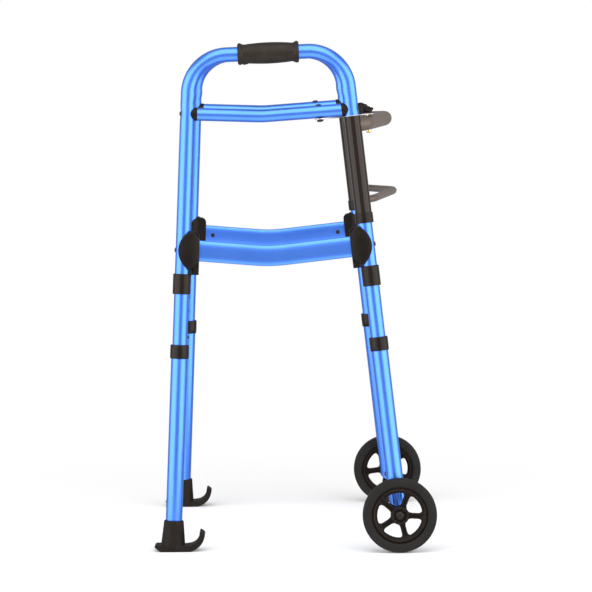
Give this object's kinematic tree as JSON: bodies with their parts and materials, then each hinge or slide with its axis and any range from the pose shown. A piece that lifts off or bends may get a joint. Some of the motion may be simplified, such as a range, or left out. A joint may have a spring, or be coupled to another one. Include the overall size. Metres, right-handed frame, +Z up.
{
  "type": "folding walking frame",
  "caption": "Folding walking frame with blue tubular sides, bowed front bars, height-adjustable legs, front wheels and rear glides.",
  "frame": {"origin": "centre of the bounding box on the floor, midway between the side frames", "axes": "+X the walking direction, +Y the user's left, +Z up"},
  "size_m": [0.483, 0.6076, 0.8722],
  "materials": {
    "blue_tube": "blue anodised, satin gloss",
    "black_sleeve": "black anodised, gloss",
    "grey_crossbar": "dark grey, satin",
    "collar_plastic": "black moulded, satin",
    "moulded_plastic": "black moulded, satin",
    "glide_plastic": "black moulded, matte",
    "grip_rubber": "black, fine grain",
    "tyre_rubber": "dark grey, smooth",
    "black_steel": "blackened, satin",
    "bright_steel": "zinc plated",
    "bush_nylon": "natural nylon",
    "brass": "plated, polished"
  },
  "bodies": {
    "front_frame": {"hinge_sleeves": "black_sleeve", "sleeve_collars": "collar_plastic", "sleeve_washers": "bright_steel", "front_crossbar": "grey_crossbar", "lower_bow": "grey_crossbar", "lock_rivets": "brass", "lever_plates": "black_steel", "lever_pins": "bright_steel"},
    "side_right": {"side_tube_right": "blue_tube", "hand_grip_right": "grip_rubber", "upper_bar_right": "blue_tube", "lower_bar_right": "blue_tube", "upper_saddles_right": "moulded_plastic", "lower_saddles_right": "moulded_plastic", "bar_rivets_right": "black_steel", "stop_collars_right": "collar_plastic", "spring_clips_right": "bright_steel", "strut_bolt_right": "black_steel", "strut_nut_right": "black_steel"},
    "rear_leg_right": {"rear_leg_right": "blue_tube", "rear_leg_collar_right": "collar_plastic", "glide_right": "glide_plastic"},
    "front_leg_right": {"front_leg_right": "blue_tube", "front_leg_collar_right": "collar_plastic", "wheel_mount_right": "moulded_plastic", "axle_bolt_right": "black_steel", "axle_nut_right": "black_steel"},
    "wheel_right": {"tyre_right": "tyre_rubber", "wheel_rim_right": "moulded_plastic", "wheel_bushes_right": "bush_nylon"},
    "rear_button_right": {"rear_snap_button_right": "black_steel"},
    "front_button_right": {"front_snap_button_right": "black_steel"},
    "lock_strut_right": {"lock_strut_right": "bright_steel"},
    "release_lever_right": {"release_lever_right": "moulded_plastic"},
    "side_left": {"side_tube_left": "blue_tube", "hand_grip_left": "grip_rubber", "upper_bar_left": "blue_tube", "lower_bar_left": "blue_tube", "upper_saddles_left": "moulded_plastic", "lower_saddles_left": "moulded_plastic", "bar_rivets_left": "black_steel", "stop_collars_left": "collar_plastic", "spring_clips_left": "bright_steel", "strut_bolt_left": "black_steel", "strut_nut_left": "black_steel"},
    "rear_leg_left": {"rear_leg_left": "blue_tube", "rear_leg_collar_left": "collar_plastic", "glide_left": "glide_plastic"},
    "front_leg_left": {"front_leg_left": "blue_tube", "front_leg_collar_left": "collar_plastic", "wheel_mount_left": "moulded_plastic", "axle_bolt_left": "black_steel", "axle_nut_left": "black_steel"},
    "wheel_left": {"tyre_left": "tyre_rubber", "wheel_rim_left": "moulded_plastic", "wheel_bushes_left": "bush_nylon"},
    "rear_button_left": {"rear_snap_button_left": "black_steel"},
    "front_button_left": {"front_snap_button_left": "black_steel"},
    "lock_strut_left": {"lock_strut_left": "bright_steel"},
    "release_lever_left": {"release_lever_left": "moulded_plastic"}
  },
  "joints": [
    {"name": "fold_right", "type": "hinge", "parent": "front_frame", "child": "side_right", "pos_m": [0.1026, -0.22201, 0.72811], "axis": [0.1123, -0.0491, -0.9925], "range_deg": [0, 88]},
    {"name": "strut_swing_right", "type": "hinge", "parent": "side_right", "child": "lock_strut_right", "pos_m": [0.04616, -0.22153, 0.73772], "axis": [0.1123, -0.0491, -0.9925], "range_deg": [-40, 0]},
    {"name": "rear_leg_height_right", "type": "slide", "parent": "side_right", "child": "rear_leg_right", "axis": [0.0405, 0.0493, 0.998], "range_m": [-0.1016, 0.0762]},
    {"name": "front_leg_height_right", "type": "slide", "parent": "side_right", "child": "front_leg_right", "axis": [-0.1123, 0.0491, 0.9925], "range_m": [-0.1016, 0.0762]},
    {"name": "wheel_spin_right", "type": "hinge", "parent": "front_leg_right", "child": "wheel_right", "pos_m": [0.17799, -0.28889, 0.06377], "axis": [0, -0.9988, 0.0494], "continuous": true},
    {"name": "rear_button_press_right", "type": "slide", "parent": "rear_leg_right", "child": "rear_button_right", "axis": [0, -0.9988, 0.0494], "range_m": [0, 0.002], "stiffness_N_per_m": 300},
    {"name": "front_button_press_right", "type": "slide", "parent": "front_leg_right", "child": "front_button_right", "axis": [0, -0.9988, 0.0494], "range_m": [0, 0.002], "stiffness_N_per_m": 300},
    {"name": "lever_lift_right", "type": "hinge", "parent": "front_frame", "child": "release_lever_right", "pos_m": [0.11758, -0.17574, 0.75271], "axis": [0, -0.9988, 0.0494], "range_deg": [0, 12], "stiffness_Nm_per_rad": 0.3},
    {"name": "fold_left", "type": "hinge", "parent": "front_frame", "child": "side_left", "pos_m": [0.1026, 0.22201, 0.72811], "axis": [-0.1123, -0.0491, 0.9925], "range_deg": [0, 74]},
    {"name": "strut_swing_left", "type": "hinge", "parent": "side_left", "child": "lock_strut_left", "pos_m": [0.04616, 0.22153, 0.73772], "axis": [-0.1123, -0.0491, 0.9925], "range_deg": [-33, 0]},
    {"name": "rear_leg_height_left", "type": "slide", "parent": "side_left", "child": "rear_leg_left", "axis": [0.0405, -0.0493, 0.998], "range_m": [-0.1016, 0.0762]},
    {"name": "front_leg_height_left", "type": "slide", "parent": "side_left", "child": "front_leg_left", "axis": [-0.1123, -0.0491, 0.9925], "range_m": [-0.1016, 0.0762]},
    {"name": "wheel_spin_left", "type": "hinge", "parent": "front_leg_left", "child": "wheel_left", "pos_m": [0.17799, 0.28889, 0.06377], "axis": [0, 0.9988, 0.0494], "continuous": true},
    {"name": "rear_button_press_left", "type": "slide", "parent": "rear_leg_left", "child": "rear_button_left", "axis": [0, 0.9988, 0.0494], "range_m": [0, 0.002], "stiffness_N_per_m": 300},
    {"name": "front_button_press_left", "type": "slide", "parent": "front_leg_left", "child": "front_button_left", "axis": [0, 0.9988, 0.0494], "range_m": [0, 0.002], "stiffness_N_per_m": 300},
    {"name": "lever_lift_left", "type": "hinge", "parent": "front_frame", "child": "release_lever_left", "pos_m": [0.11758, 0.17574, 0.75271], "axis": [0, -0.9988, -0.0494], "range_deg": [0, 12], "stiffness_Nm_per_rad": 0.3}
  ],
  "couplings": [
    {"joint": "strut_swing_right", "follows": "fold_right", "ratio": -0.444},
    {"joint": "strut_swing_left", "follows": "fold_left", "ratio": -0.444}
  ]
}
